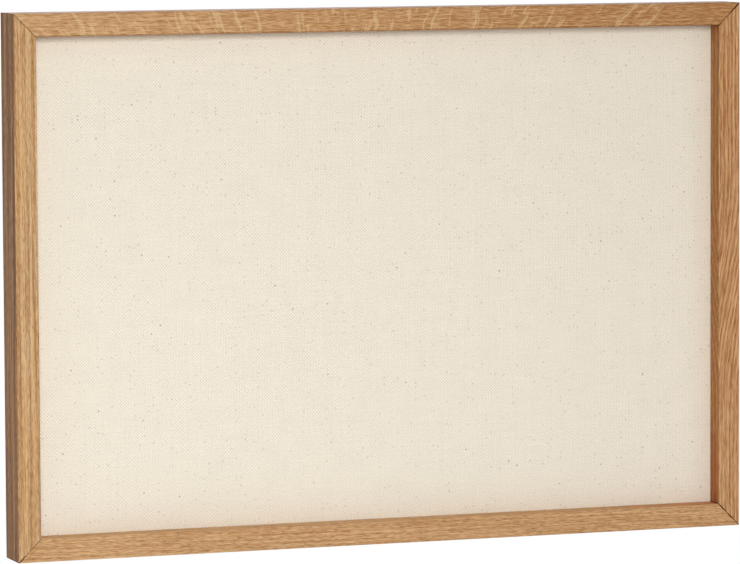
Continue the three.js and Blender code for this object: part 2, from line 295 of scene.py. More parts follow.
def lightness(wood, light, fade, layers, rings):
    for strength, stretch, fine in layers:
        layer = wood.less(wood.grain(stretch, fine), 0.5)
        light = wood.add(wood.times(layer, strength), light)
    strength, pitch = rings
    into = wood.add(wood.drawn, wood.times(wood.deep, RING_SLANT))
    ring = wood.math("SINE", wood.times(into, 2 * pi / pitch))
    light = wood.add(light, wood.times(ring, strength))
    light = wood.add(light, wood.times(wood.along, -fade))
    return wood.between(light, -0.1, 1.1)

# %% [markdown]
# Streaks of a warmer brown run all along the stick. Pores, long vessels that were
# cut open, show as dark dashes, and the darker, softer rows have more of them.
# Where the saw ran along the rays of the tree, they shine as pale flecks across
# the grain. The flecks fan out, because the cut turns slowly away from the rays,
# so their noise is read along a fan: the further a point is from the fan's
# start, the more a step across the face counts.

# %% Streaks, pores and ray flecks
WARM_COUNT, WARM_TINT = (8, 330), tone(255, 245, 226)
PORE_COUNT, PORE_TONE = (240, 1700), tone(112, 72, 40)
CURL_COUNT, CURL = (30, 95, 95), 7 * MM
FLECK_COUNT, FLECK_TONE = (290, 45, 45), tone(224, 194, 150)
FLECK_STRENGTH = 0.38


def warm_streaks(wood, colour, strength):
    streaks = wood.between(wood.grain(*WARM_COUNT), 0.36, 0.64, 0.0, strength)
    return wood.mix(streaks, colour, WARM_TINT, "MULTIPLY")


def open_pores(wood, light):
    pores = wood.between(wood.grain(*PORE_COUNT, detail=1.0), 0.58, 0.70)
    return wood.times(pores, wood.between(light, 0.8, 0.1, 0.2, 1.0))


def ray_flecks(wood, colour, spread, fan_from, fan_to):
    curl = wood.noise((wood.start, wood.across, wood.y), CURL_COUNT, detail=1.0)
    from_top = wood.add(wood.across, -half_height)
    widening = wood.less(1.0, wood.times(from_top, spread))
    fan = wood.times(wood.less(wood.along, fan_from), widening)
    fan = wood.add(fan, wood.times(curl, CURL))
    rays = wood.noise((fan, wood.across, wood.y), FLECK_COUNT)
    rays = wood.between(rays, 0.575, 0.66, 0.0, FLECK_STRENGTH)
    rays = wood.times(rays, wood.between(wood.along, fan_to, fan_to - CURL))
    return wood.mix(rays, colour, FLECK_TONE)

# %% [markdown]
# The inner side of the lip has another tone than the face; on the bottom rail
# that tone is painted light, which makes the side paler than the face. The outer
# sides get painted shade, darker and greyer, and the top rail gets a painted
# shadow, a darker rim along its lip. Where they lie follows from how far a point
# is past the frame's outer edge, which is a negative number on the face.

# %% The lip's tone, and painted light and shade on the lip and outer sides
# Painted shade on the outer sides: they are made darker and greyer.
OUTER_SHADE_DARK, OUTER_SHADE_PALE = tone(209, 197, 190), tone(255, 233, 222)
LIP_SHADOW_WIDTH = 1.5 * MM


def past_edge(wood):
    to_side = wood.add(wood.math("ABSOLUTE", wood.x), -half_width)
    to_end = wood.add(wood.math("ABSOLUTE", wood.up), -half_height)
    return wood.math("MAXIMUM", to_side, to_end)


def on_lip(wood, edge):
    """1 on the inner side of the lip, and 0 on the face."""
    return wood.between(edge, 0.25 * MM - rail_face, 0.05 * MM - rail_face)


# Tints the lip with its own tone, paints light on the bottom lip, a shadow along the top lip and
# shade on the outer sides.
def tinted_lip_and_painted_shade(wood, colour, light, edge, lip_tone_and_painted_light, rim):
    # The lip's own tone; on the bottom rail it is painted light instead.
    colour = wood.mix(on_lip(wood, edge), colour, lip_tone_and_painted_light, "MULTIPLY")
    # A painted shadow: a darker rim along the lip, used on the top rail.
    if rim:
        painted_lip_shadow = wood.between(edge, LIP_SHADOW_WIDTH - rail_face, 0.4 * MM - rail_face)
        colour = wood.mix(painted_lip_shadow, colour, rim, "MULTIPLY")
    # Painted shade on the outer sides of the frame.
    outer = wood.between(edge, -0.3 * MM, -0.05 * MM)
    outer_painted_shade = wood.mix(light, OUTER_SHADE_DARK, OUTER_SHADE_PALE)
    return wood.mix(outer, colour, outer_painted_shade, "MULTIPLY")

# %% [markdown]
# Along each mitre the end grain drinks more oil, here more and there less, and
# shows as a thin dark line. The two mitres on the right are the darkest, and two
# opposite ones have opened a little at their outer end. The inner corners on the
# right get a warm painted shade, as light bounced off the oak would give, most of
# it in the lower one: the higher up, the faster it fades away from its corner.

# %% Mitre lines and painted shade in the corners
MITRE_TONE = tone(62, 18, 0)
MITRE_DARK, MITRE_FADED = 0.45 * MM, 0.75 * MM
THIRST_COUNT, LEAST_THIRST = 110.0, 0.3
# Painted shade in the inner corners on the right, warm as light bounced off oak.
CORNER_SHADE_TINT = tone(248, 220, 202)
CORNER_SHADE_REACH = 130 * MM
CORNER_SHADE_LIFT = 4.0


def off_mitre(wood):
    """How far a point lies from the nearest mitre, measured along a rail."""
    aside = wood.less(wood.math("ABSOLUTE", wood.x), wood.math("ABSOLUTE", wood.up))
    return wood.math("ABSOLUTE", wood.less(aside, half_width - half_height))


def mitre_lines(wood, colour, mitre):
    line = wood.between(mitre, MITRE_FADED, MITRE_DARK)
    thirst = wood.noise(wood.where, THIRST_COUNT, detail=1.0)
    thirst = wood.between(thirst, 0.35, 0.65, 0.5, 1.3)
    to_lower_right = wood.add(wood.times(wood.up, -1.2), 0.6, wood.times(wood.x, 2.0))
    thirst = wood.times(thirst, wood.math("MAXIMUM", LEAST_THIRST, to_lower_right))
    to_ends = wood.math("ABSOLUTE", wood.add(
        wood.times(wood.x, 1 / half_width), wood.times(wood.up, 1 / half_height)))
    opened = wood.between(to_ends, 1.93, 1.98, 0.0, 0.7)
    return wood.mix(wood.times(line, wood.add(thirst, opened)), colour, MITRE_TONE)


# Paints warm shade on the lip in the right inner corners, fading away from each corner.
def painted_corner_shade(wood, colour, mitre, lip):
    faster = wood.add(wood.times(wood.up, CORNER_SHADE_LIFT / half_height), CORNER_SHADE_LIFT)
    faster = wood.math("MAXIMUM", 1.0, faster)
    corner_shade = wood.between(wood.times(mitre, faster), CORNER_SHADE_REACH, 0.0)
    corner_shade = wood.times(corner_shade, wood.between(wood.x, 0.0, CORNER_SHADE_REACH))
    return wood.mix(wood.times(corner_shade, lip), colour, CORNER_SHADE_TINT, "MULTIPLY")

# %% [markdown]
# The whole recipe lays these over each other in turn. The lighter the wood, the
# smoother it is, and the pores are cut in as tiny hollows.

# %% The oak recipe
GRAIN_DEPTH = 0.03 * MM


def oak(name, upright, seed, drift, lean, light, fade, dark, pale, bands, rows, dashes,
        rings, warmth, pore_strength, lip_tone_and_painted_light, bend=None, flecks=None, rim=None):
    wood = Stick(name, upright, seed, drift, lean, bend)
    light = lightness(wood, light, fade, (bands, rows, dashes), rings)
    colour = wood.mix(light, dark, pale)
    colour = warm_streaks(wood, colour, warmth)
    if flecks:
        colour = ray_flecks(wood, colour, *flecks)
    pores = open_pores(wood, light)
    colour = wood.mix(wood.times(pores, pore_strength), colour, PORE_TONE)
    edge, mitre = past_edge(wood), off_mitre(wood)
    colour = tinted_lip_and_painted_shade(wood, colour, light, edge, lip_tone_and_painted_light, rim)
    colour = mitre_lines(wood, colour, mitre)
    colour = painted_corner_shade(wood, colour, mitre, on_lip(wood, edge))
    roughness = wood.between(light, 0.0, 1.0, 0.64, 0.52)
    height = wood.less(wood.times(light, 0.3), pores)
    wood.set(IOR=1.5, Specular_IOR_Level=0.15)
    return wood.finish(colour, roughness, height, GRAIN_DEPTH)

# %% [markdown]
# The four sticks. The frame's own solids have the right shape already, with
# mitres, a rabbet and eased edges, so they stay and only get their oak.
#
# `seed` gives each stick noise of its own. A `bend` says where it starts, where
# it ends and how far it shifts. `fade` is how much darker a stick gets in a
# metre to the right or upwards, between its `dark` and its `pale` brown. The
# `flecks` say how fast they fan out, from where, and where they stop. The lip
# tone sets the inner side of the lip; where it is above 255, on the bottom rail,
# it is painted light that makes the side paler than the face. The `rim` of the
# top rail is a painted shadow, a darker rim along its lip.

# %% Oak for the four rails
sticks = {
    "top_rail": dict(
        upright=False, seed=3.1, drift=0.8 * MM, lean=0,
        light=0.41, fade=0.7, dark=tone(156, 104, 56), pale=tone(212, 174, 128),
        bands=(0.15, 14, 110), rows=(0.5, 30, 850), dashes=(1.7, 160, 1500),
        rings=(0.06, 2.7 * MM), warmth=0.1, pore_strength=0.45,
        # The rim here is a painted shadow along the edge of the top lip.
        flecks=(4.4, -20 * MM, 200 * MM), lip_tone_and_painted_light=tone(255, 244, 226), rim=tone(224, 216, 208)),
    "bottom_rail": dict(
        upright=False, seed=7.7, drift=1.2 * MM, lean=0.006,
        light=0.43, fade=0.1, dark=tone(160, 113, 70), pale=tone(216, 179, 134),
        bands=(0.3, 12, 100), rows=(0.8, 10, 1300), dashes=(1.5, 200, 2100),
        # Above 255, the lip tone here is painted light: the lip's inner side is made paler than
        # the face.
        rings=(0.05, 2.9 * MM), warmth=0.35, pore_strength=0.7, lip_tone_and_painted_light=tone(282, 282, 282)),
    "left_rail": dict(
        upright=True, seed=12.4, drift=1.2 * MM, lean=0.006,
        light=0.44, fade=0, dark=tone(160, 117, 76), pale=tone(213, 180, 137),
        bands=(0.6, 5, 150), rows=(1.5, 8, 800), dashes=(1.5, 200, 1800),
        rings=(0.11, 5.6 * MM), warmth=0.75, pore_strength=0.5, lip_tone_and_painted_light=tone(255, 244, 226)),
    "right_rail": dict(
        upright=True, seed=21.9, drift=0.5 * MM, lean=0, bend=(-110 * MM, -260 * MM, 20 * MM),
        light=0.43, fade=0.1, dark=tone(152, 99, 58), pale=tone(210, 168, 123),
        bands=(0.05, 7, 200), rows=(1, 30, 920), dashes=(1.7, 110, 1800),
        rings=(0.16, 2.7 * MM), warmth=0.5, pore_strength=0.7, lip_tone_and_painted_light=tone(230, 214, 186)),
}


def dress(node, material):
    """Puts a material in every slot of a CAD node."""
    for slot in frame["nodes"][node].material_slots:
        slot.material = material


for rail, stick in sticks.items():
    dress(rail, oak("oak_of_" + rail, **stick))

# %% [markdown]
# ## Shaping by operators
#
# New pieces are modelled with Blender's own tools. A tool acts on whatever is
# selected, so each piece starts with nothing selected, and its faces are then
# picked by which way they look and where they are, give or take a `HAIR`.

# %% Helpers for picking faces and edges
BACKWARDS, UPWARDS = Vector((0, 1, 0)), Vector((0, 0, 1))
HAIR = 0.01 * MM
cube = bpy.ops.mesh.primitive_cube_add
cylinder = bpy.ops.mesh.primitive_cylinder_add


def begin(name, primitive, **shape):
    """Adds a primitive, keeps its place in its mesh, and opens it for editing."""
    bpy.ops.object.select_all(action="DESELECT")
    primitive(**shape)
    piece = bpy.context.object
    piece.name = name
    piece.data.name = name
    bpy.ops.object.transform_apply(location=True, rotation=True, scale=True)
    bpy.ops.object.mode_set(mode="EDIT")
    bpy.ops.mesh.select_all(action="DESELECT")
    return piece


def pick(kind, test):
    """Selects the vertices, edges or faces for which the test is true."""
    bpy.ops.mesh.select_mode(type=kind)
    bpy.ops.mesh.select_all(action="DESELECT")
    mesh = bmesh.from_edit_mesh(bpy.context.object.data)
    parts = {"VERT": mesh.verts, "EDGE": mesh.edges, "FACE": mesh.faces}[kind]
    chosen = [part for part in parts if test(part)]
    for part in chosen:
        part.select_set(True)
    mesh.select_flush_mode()
    bmesh.update_edit_mesh(bpy.context.object.data)
    return len(chosen)


def facing(way, least=0.9):
    """A test for faces that look this way."""
    return lambda face: face.normal.dot(way) > least


def middle(edge):
    return (edge.verts[0].co + edge.verts[1].co) / 2


def runs(edge, way):
    """Whether an edge runs this way, forwards or back."""
    along = (edge.verts[0].co - edge.verts[1].co).normalized()
    return abs(along.dot(way)) > 0.9


def pull_out(way):
    """Extrudes what is selected this way."""
    bpy.ops.mesh.extrude_region_move(TRANSFORM_OT_translate={"value": way})


def end_editing(smooth_angle=40):
    bpy.ops.object.mode_set(mode="OBJECT")
    bpy.ops.object.shade_smooth_by_angle(angle=radians(smooth_angle))

# %% [markdown]
# Modifiers do what takes many steps by hand, and each is applied at once. What
# repeats is modelled once and then copied. A finished piece keeps its place in
# its mesh and its object at the origin, as the CAD solids do.

# %% Helpers for finishing and placing
def modify(piece, kind, **settings):
    """Adds a modifier, sets it and applies it."""
    bpy.ops.object.select_all(action="DESELECT")
    bpy.context.view_layer.objects.active = piece
    piece.select_set(True)
    modifier = piece.modifiers.new(kind.lower(), kind)
    for setting, value in settings.items():
        setattr(modifier, setting, value)
    bpy.ops.object.modifier_apply(modifier=modifier.name)


def cut_away(piece, cutter):
    """Takes the cutter's shape out of a piece."""
    modify(piece, "BOOLEAN", operation="DIFFERENCE", object=cutter, solver="EXACT")


def soften(piece, width):
    """Bevels all edges sharper than 35 degrees."""
    modify(piece, "BEVEL", width=width, segments=2, limit_method="ANGLE",
           angle_limit=radians(35))


def coat(piece, material):
    piece.data.materials.clear()
    piece.data.materials.append(material)


def seat_of(node, head_height=None):
    """The middle of a CAD node's box where it meets the wood, or under its head."""
    low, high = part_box(node)
    depth = low.y if head_height is None else high.y - head_height
    return Vector(((low.x + high.x) / 2, depth, (low.z + high.z) / 2))


def copy_of(pattern, name, matrix):
    """A copy with a mesh of its own, moved to its place."""
    piece = bpy.data.objects.new(name, pattern.data.copy())
    piece.data.transform(matrix)
    bpy.context.scene.collection.objects.link(piece)
    return piece


def settle(piece, node, body):
    """The piece stands for a CAD node, whose solid is hidden, and rides on its body."""
    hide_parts(node)
    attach(piece, body)


def discard(*patterns):
    for pattern in patterns:
        bpy.data.objects.remove(pattern)

# %% [markdown]
# ## The canvas
#
# On the real board a piece of canvas is laid over the soft board, pulled tight,
# folded round its edges and stapled behind, with the spare cloth at each corner
# folded flat. It could be simulated, but a stretched cloth ends up flat, so it is
# made directly: a box of the panel's size, whose back is inset by the width of
# the turned-in flaps and opened. All its straight edges are then turned softly.

# %% Stretch the canvas over the panel
CLOTH = 0.7 * MM
FLAP = 28 * MM
TURNED_EDGE = 1.0 * MM

canvas_low, canvas_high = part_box("canvas_cover")
flap_back = canvas_high.y - CLOTH
canvas_size = Vector((
    canvas_high.x - canvas_low.x, flap_back - canvas_low.y, canvas_high.z - canvas_low.z))
canvas_middle = Vector((
    (canvas_low.x + canvas_high.x) / 2, (canvas_low.y + flap_back) / 2,
    (canvas_low.z + canvas_high.z) / 2))
canvas = begin("canvas", cube, size=1, location=canvas_middle, scale=canvas_size)
pick("FACE", facing(BACKWARDS))
bpy.ops.mesh.inset(thickness=FLAP)
bpy.ops.mesh.delete(type="FACE")
three_ways = (Vector((1, 0, 0)), BACKWARDS, UPWARDS)
edges = pick("EDGE", lambda edge: not edge.is_boundary and any(
    runs(edge, way) for way in three_ways))
bpy.ops.mesh.bevel(offset=TURNED_EDGE, segments=3, affect="EDGES")
print("turned", edges, "edges of the canvas")
end_editing()

# %% [markdown]
# The weave has to follow the cloth round its edges, so the canvas gets a UV map
# that says where each point was when the cloth still lay flat, in metres. The
# front keeps its place, and every side and flap is unfolded outwards from it.

# %% Lay the cloth out flat
FLAT_MAP = "flat_cloth"
MOSTLY = 0.7


def unfolded(offset, half, depth, face_is_back, faces_this_way):
    """Where a point lay along one direction of the flat cloth."""
    if not faces_this_way:
        return offset
    way = 1 if offset > 0 else -1
    tucked = (half - abs(offset)) + canvas_size.y if face_is_back else depth
    return way * (half + tucked)


def flat_place_of(face, point):
    """A side belongs to its own fold, and a flap to the side that is nearest."""
    back = face.normal.y > MOSTLY
    side_x = abs(face.normal.x) > MOSTLY or back and (
        half_width - abs(face.center.x) < half_height - abs(face.center.z - centre.z))
    side_z = not side_x and (abs(face.normal.z) > MOSTLY or back)
    depth = point.y - canvas_low.y
    return (unfolded(point.x, canvas_size.x / 2, depth, back, side_x),
            unfolded(point.z - centre.z, canvas_size.z / 2, depth, back, side_z))


def lay_flat(mesh, place_of):
    """Gives a mesh the flat map, where place_of says where each point lay."""
    while mesh.uv_layers:
        mesh.uv_layers.remove(mesh.uv_layers[0])
    flat_map = mesh.uv_layers.new(name=FLAT_MAP)
    for face in mesh.polygons:
        for corner, vertex in zip(face.loop_indices, face.vertices):
            flat_map.data[corner].uv = place_of(face, mesh.vertices[vertex].co)


lay_flat(canvas.data, flat_place_of)

# %% [markdown]
# So far the cloth is a thin skin. `Solidify` gives it its thickness, inwards, so
# that its outside stays where it is.

# %% Give the cloth its thickness
modify(canvas, "SOLIDIFY", thickness=CLOTH, offset=-1, use_even_offset=True)
print("canvas", CLOTH / MM, "mm thick")

# %% [markdown]
# At each corner of the back the spare cloth lies as a flat triangle over the
# flap. The corners are alike, so only one triangle is modelled.

# %% Fold one corner
FOLD_MARGIN = 1.2 * MM
FOLD_REACH = FLAP - FOLD_MARGIN

fold = begin("fold", bpy.ops.mesh.primitive_circle_add, vertices=3, radius=FOLD_REACH,
             fill_type="NGON", rotation=(pi / 2, 0, 0))
corner_places = [
    (2 * FOLD_MARGIN, FOLD_MARGIN), (FOLD_REACH, FOLD_MARGIN),
    (FOLD_REACH, FOLD_REACH - FOLD_MARGIN)]
shape = bmesh.from_edit_mesh(fold.data)
for vertex, (in_x, in_z) in zip(shape.verts, corner_places):
    vertex.co = (canvas_size.x / 2 - in_x, flap_back, canvas_size.z / 2 - in_z)
bmesh.update_edit_mesh(fold.data)
bpy.ops.mesh.select_all(action="SELECT")
pull_out((0, CLOTH, 0))
bpy.ops.mesh.select_all(action="SELECT")
bpy.ops.mesh.normals_make_consistent(inside=False)
end_editing()
soften(fold, 0.2 * MM)
lay_flat(fold.data, lambda face, point: (point.x, point.z - centre.z))
print("fold:", len(fold.data.polygons), "faces")

# %% [markdown]
# The other three are mirrored copies. A shape that is mirrored once is inside
# out, so its normals are turned round. All four are then joined to the canvas.

# %% Mirror the fold to all four corners
bpy.ops.object.select_all(action="DESELECT")
for flip_x in (1, -1):
    for flip_z in (1, -1):
        mirrored = Matrix.Diagonal((flip_x, 1, flip_z, 1))
        folded = copy_of(fold, "fold_copy", Matrix.Translation((0, 0, centre.z)) @ mirrored)
        if flip_x * flip_z < 0:
            folded.data.flip_normals()
        folded.select_set(True)
canvas.select_set(True)
bpy.context.view_layer.objects.active = canvas
bpy.ops.object.join()
discard(fold)
print("canvas has", len(canvas.data.polygons), "faces")

# %% [markdown]
# ## The weave
#
# Unbleached cotton canvas is a plain weave: each thread goes over one and under
# one, so thread crossings make a chequer of light and dark cells, here about
# 1.1 mm each. Two sine waves multiplied give just that.

# %% Threads over and under
CELL_WIDTH, CELL_HEIGHT = 1.06 * MM, 1.12 * MM

cloth = Recipe("unbleached_canvas")
flat_place = cloth.step("UVMap", {}, uv_map=FLAT_MAP)
u, v, _ = cloth.apart(flat_place)
warp_wave = cloth.math("SINE", cloth.times(u, pi / CELL_WIDTH))
weft_wave = cloth.math("SINE", cloth.times(v, pi / CELL_HEIGHT))
chequer = cloth.times(warp_wave, weft_wave)
print(round(1 / CELL_WIDTH), "by", round(1 / CELL_HEIGHT), "threads to the metre")

# %% [markdown]
# No two threads are alike. The chequer is strong where the cloth is tight and
# faint where it is slack. Each thread has a tone of its own, which changes slowly
# along it. There are soft blotches a thumb's width apart, and slubs, where the
# yarn is thick, about as small as a cell. Each of these is a slice of solid noise
# at a depth of its own, so that no two look alike.

# %% Uneven yarn
WARP_TONE, WEFT_TONE = tone(243, 235, 219), tone(223, 214, 197)
TENSION_COUNT, BLOTCH_COUNT, SLUB_COUNT = 150, 60, 800
THREAD_RUN = 14
SLUB_WEIGHT = 4.8


def over_cloth(across, up, depth, detail=2.0):
    """Noise with so many blotches to the metre across the cloth and up it."""
    return cloth.noise((u, v, depth), (across, up, 1.0), detail)


tension = over_cloth(TENSION_COUNT, TENSION_COUNT, depth=11.0)
chequer = cloth.times(chequer, cloth.between(tension, 0.40, 0.64, 0.25, 1.6))
colour = cloth.mix(cloth.between(chequer, -1.0, 1.0), WEFT_TONE, WARP_TONE)

warp_shade = over_cloth(1 / CELL_WIDTH, THREAD_RUN, depth=0.0, detail=1.0)
weft_shade = over_cloth(THREAD_RUN, 1 / CELL_HEIGHT, depth=7.0, detail=1.0)
blotches = over_cloth(BLOTCH_COUNT, BLOTCH_COUNT, depth=3.0)
slubs = over_cloth(SLUB_COUNT, SLUB_COUNT, depth=5.0)
shade = cloth.add(warp_shade, weft_shade, blotches, cloth.times(slubs, SLUB_WEIGHT))
shade = cloth.between(shade, 1.4, 6.4, 0.905, 1.095)
colour = cloth.mix(1.0, colour, cloth.vector(shade, shade, shade), "MULTIPLY")

# %% [markdown]
# The cloth has dark specks, bits of seed husk that bleaching would remove: a few
# strong ones and many faint ones. A Voronoi texture scatters them. It has one
# point in each of its cells, with a random colour that serves as its luck: most
# points draw too little of it and get no speck.

# %% Husk specks
HUSK_TONE, HUSK_HEART = tone(124, 84, 50), 0.4


def husks(colour, spacing, size, luck_needed, strongest):
    """Scatters specks, at most one to a cell, each as dark as its luck."""
    inputs = {"Vector": flat_place, "Scale": 1 / spacing}
    cells = cloth.node("TexVoronoi", inputs, voronoi_dimensions="2D")
    luck, _, _ = cloth.apart(cells["Color"])
    edge = size / spacing
    speck = cloth.between(cells["Distance"], edge, edge * HUSK_HEART)
    dark = cloth.between(luck, luck_needed, 1.0, 0.0, strongest)
    return cloth.mix(cloth.times(speck, dark), colour, HUSK_TONE)


colour = husks(colour, spacing=6.0 * MM, size=0.68 * MM, luck_needed=0.970, strongest=0.75)
colour = husks(colour, spacing=3.1 * MM, size=0.85 * MM, luck_needed=0.86, strongest=0.24)

# %% [markdown]
# The threads are round, and the light shows it. The same two waves make a height
# for the bump: their square root rises steeply beside each gap and is flat on
# top. Cotton is dull, with a trace of fuzz that a little sheen stands for.

# %% Rounded threads and a dull finish
THREAD_HEIGHT = 0.10 * MM
COTTON_ROUGHNESS = 0.92


def rounded(wave):
    return cloth.math("POWER", cloth.math("ABSOLUTE", wave), 0.5)


threads = cloth.times(rounded(warp_wave), rounded(weft_wave))
cloth.set(Specular_IOR_Level=0.2, Sheen_Weight=0.08, Sheen_Roughness=0.5)
coat(canvas, cloth.finish(colour, COTTON_ROUGHNESS, threads, THREAD_HEIGHT))

# %% [markdown]
# The finished canvas stands for the CAD solid of the cover and rides with the
# frame. Its spare corners were cut off.

settle(canvas, "canvas_cover", "frame")

# %% [markdown]
# ## Metals, boards and rubber
#
# The hidden parts get their finishes too. Zinc plating is a grey metal with a
# faint mottled bloom, brass plating is warmer, and both are brushed a little by
# handling. Roughness and bump come from noise, never from one flat number.

# %% Zinc and brass plating
BRUSH_COUNT = (300, 9000, 9000)


def plated(name, light, dark, bloom):
    """A plated metal whose bloom has so many blotches to the metre."""
    metal = Recipe(name)
    place = metal.place()
    mottle = metal.noise(place, bloom, detail=3.0)
    brushed = metal.noise(place, BRUSH_COUNT)
    colour = metal.mix(metal.between(mottle, 0.35, 0.65), dark, light)
    roughness = metal.between(metal.add(mottle, brushed), 0.7, 1.3, 0.34, 0.52)
    metal.set(Metallic=1.0)
    return metal.finish(colour, roughness, brushed, 0.01 * MM)


zinc = plated("zinc_plating", tone(176, 179, 183), tone(142, 146, 151), bloom=700.0)
brass = plated("brass_plating", tone(186, 156, 102), tone(150, 120, 70), bloom=500.0)

# %% [markdown]
# Soft fibreboard and hardboard are both pressed from wood fibres. They are
# cloudy over a centimetre or two and flecked with single fibres, and they are
# layered, so the noise is three times as fine through the board.

# %% Fibreboard and hardboard
CLOUD_COUNT = 70
LAYERING = 3


def pressed_board(name, light, dark, fleck, fine, roughness):
    board = Recipe(name)
    x, y, z = board.place()
    place = (x, board.times(y, LAYERING), z)
    clouds = board.noise(place, CLOUD_COUNT, detail=3.0)
    fibres = board.noise(place, fine, detail=4.0)
    colour = board.mix(board.between(clouds, 0.3, 0.7), dark, light)
    colour = board.mix(board.between(fibres, 0.54, 0.74, 0.0, 0.45), colour, fleck)
    rough = board.between(fibres, 0.3, 0.7, roughness - 0.08, roughness + 0.05)
    board.set(Specular_IOR_Level=0.3)
    return board.finish(colour, rough, fibres, 0.05 * MM)


soft_board = pressed_board(
    "soft_fibreboard", light=tone(188, 158, 116), dark=tone(160, 130, 92),
    fleck=tone(120, 92, 60), fine=900.0, roughness=0.92)
hard_board = pressed_board(
    "smooth_hardboard", light=tone(140, 103, 70), dark=tone(131, 95, 63),
    fleck=tone(96, 66, 42), fine=1100.0, roughness=0.55)

# %% [markdown]
# The bumpers are grey rubber, with a fine skin that scatters the light.

# %% Rubber
SKIN_COUNT = 2500

rubber = Recipe("grey_rubber")
skin = rubber.noise(rubber.place(), SKIN_COUNT, detail=3.0)
rubber_tone = rubber.mix(rubber.between(skin, 0.3, 0.7), tone(66, 64, 61), tone(88, 86, 82))
rubber.set(Specular_IOR_Level=0.35)
grey_rubber = rubber.finish(rubber_tone, rubber.between(skin, 0.3, 0.7, 0.68, 0.85), skin)

# %% [markdown]
# The fibreboard core, the back board, the staples and the V-nails keep their CAD
# shapes, which are right as they are.

# %% Finish the parts that keep their CAD shape
dress("panel_core", soft_board)
dress("back_board", hard_board)
small_steel = [name for name in frame["nodes"] if name.startswith(("staple_", "v_nail_"))]
for name in small_steel:
    dress(name, zinc)
print(len(small_steel), "staples and V-nails in zinc")

# %% [markdown]
# ## The turn buttons
#
# A turn button is a little pear-shaped plate, punched out of steel, that turns
# on a screw and reaches over the edge of the back board. Two short cylinders, a
# wide one at the screw and a narrow one at the tip, wrapped in their convex hull
# make the outline in one step. A hole is cut for the screw, and a fine bevel
# stands for the rounded edge that a punch leaves.

# %% Model one turn button
PIVOT_RADIUS, TIP_RADIUS, REACH = 4.2 * MM, 3.0 * MM, 16 * MM
BUTTON_THICKNESS, SCREW_HOLE_RADIUS = 1.2 * MM, 1.65 * MM
FACING_WALL = (pi / 2, 0, 0)

button = begin("button", cylinder, vertices=48, radius=PIVOT_RADIUS, depth=BUTTON_THICKNESS,
               location=(0, BUTTON_THICKNESS / 2, 0), rotation=FACING_WALL)
cylinder(vertices=48, radius=TIP_RADIUS, depth=BUTTON_THICKNESS,
         location=(0, BUTTON_THICKNESS / 2, REACH), rotation=FACING_WALL)
bpy.ops.mesh.select_all(action="SELECT")
bpy.ops.mesh.convex_hull()
bpy.ops.mesh.select_all(action="SELECT")
bpy.ops.mesh.dissolve_limited(angle_limit=radians(1))
end_editing()
punch = begin("punch", cylinder, vertices=32, radius=SCREW_HOLE_RADIUS,
              depth=4 * BUTTON_THICKNESS, rotation=FACING_WALL)
end_editing()
cut_away(button, punch)
soften(button, 0.2 * MM)
coat(button, zinc)
print("turn button:", len(button.data.polygons), "faces")

# %% [markdown]
# Each button is placed by its joint: the joint's own position gives the pivot,
# and the middle of the CAD button's box shows which way it points at rest.

# %% Place the eight turn buttons
for joint in frame["joints"]:
    spot = joint["child"].removeprefix("button_")
    node = "turn_button_" + spot
    low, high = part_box(node)
    pivot = Vector((joint["pos_m"][0], low.y, joint["pos_m"][2]))
    reach = (low + high) / 2 - pivot
    turned = Matrix.Rotation(atan2(reach.x, reach.z), 4, "Y")
    plate = copy_of(button, "pear_button_" + spot, Matrix.Translation(pivot) @ turned)
    settle(plate, node, joint["child"])
discard(button, punch)

# %% [markdown]
# ## Screws and nails
#
# A pan-head screw and a round-headed nail are the same lesson: a disc whose top
# is drawn up into a dome by insetting the face and lifting it, again and again,
# and whose underside is inset to the shank and pulled out to a point. The dome
# follows a curve from the rim, past its shoulder, to the middle, and stops just
# short of it. Its points are the usual sum for a curve with three handles.

# %% A turned fastener with a domed head
DOME_STEPS = 5
DOME_SHOULDER = 0.85
DOME_SHARE = 0.92


def fastener(name, head, head_height, rim, shank, length, point, material):
    piece = begin(name, cylinder, vertices=32, radius=head, depth=rim,
                  location=(0, 0, rim / 2))
    at = (head, rim)
    for step in range(1, DOME_STEPS + 1):
        t = step / DOME_STEPS * DOME_SHARE
        across = (1 - t) ** 2 * head + 2 * t * (1 - t) * DOME_SHOULDER * head
        up = (1 - t) ** 2 * rim + 2 * t * (1 - t) * head_height + t * t * head_height
        pick("FACE", lambda face: facing(UPWARDS)(face)
             and face.calc_center_median().z > at[1] - HAIR)
        bpy.ops.mesh.inset(thickness=at[0] - across)
        bpy.ops.transform.translate(value=(0, 0, up - at[1]))
        at = (across, up)
    pick("FACE", facing(-UPWARDS))
    bpy.ops.mesh.inset(thickness=head - shank)
    pull_out((0, 0, point - length))
    pull_out((0, 0, -point))
    bpy.ops.mesh.merge(type="CENTER")
    end_editing(smooth_angle=30)
    piece.data.transform(Matrix.Rotation(-pi / 2, 4, "X"))
    coat(piece, material)
    print(name, "with", len(piece.data.polygons), "faces")
    return piece

# %% [markdown]
# The screw gets a cross-shaped recess for the driver, cut twice with one tapered
# wedge that is turned a quarter in between.

# %% Model one screw and cut its recess
SCREW_HEAD_HEIGHT = 1.9 * MM
RECESS_SPAN, RECESS_WIDTH, RECESS_DEPTH = 4.8 * MM, 1.1 * MM, 1.1 * MM
RECESS_TAPER = (0.45, 1, 0.6)

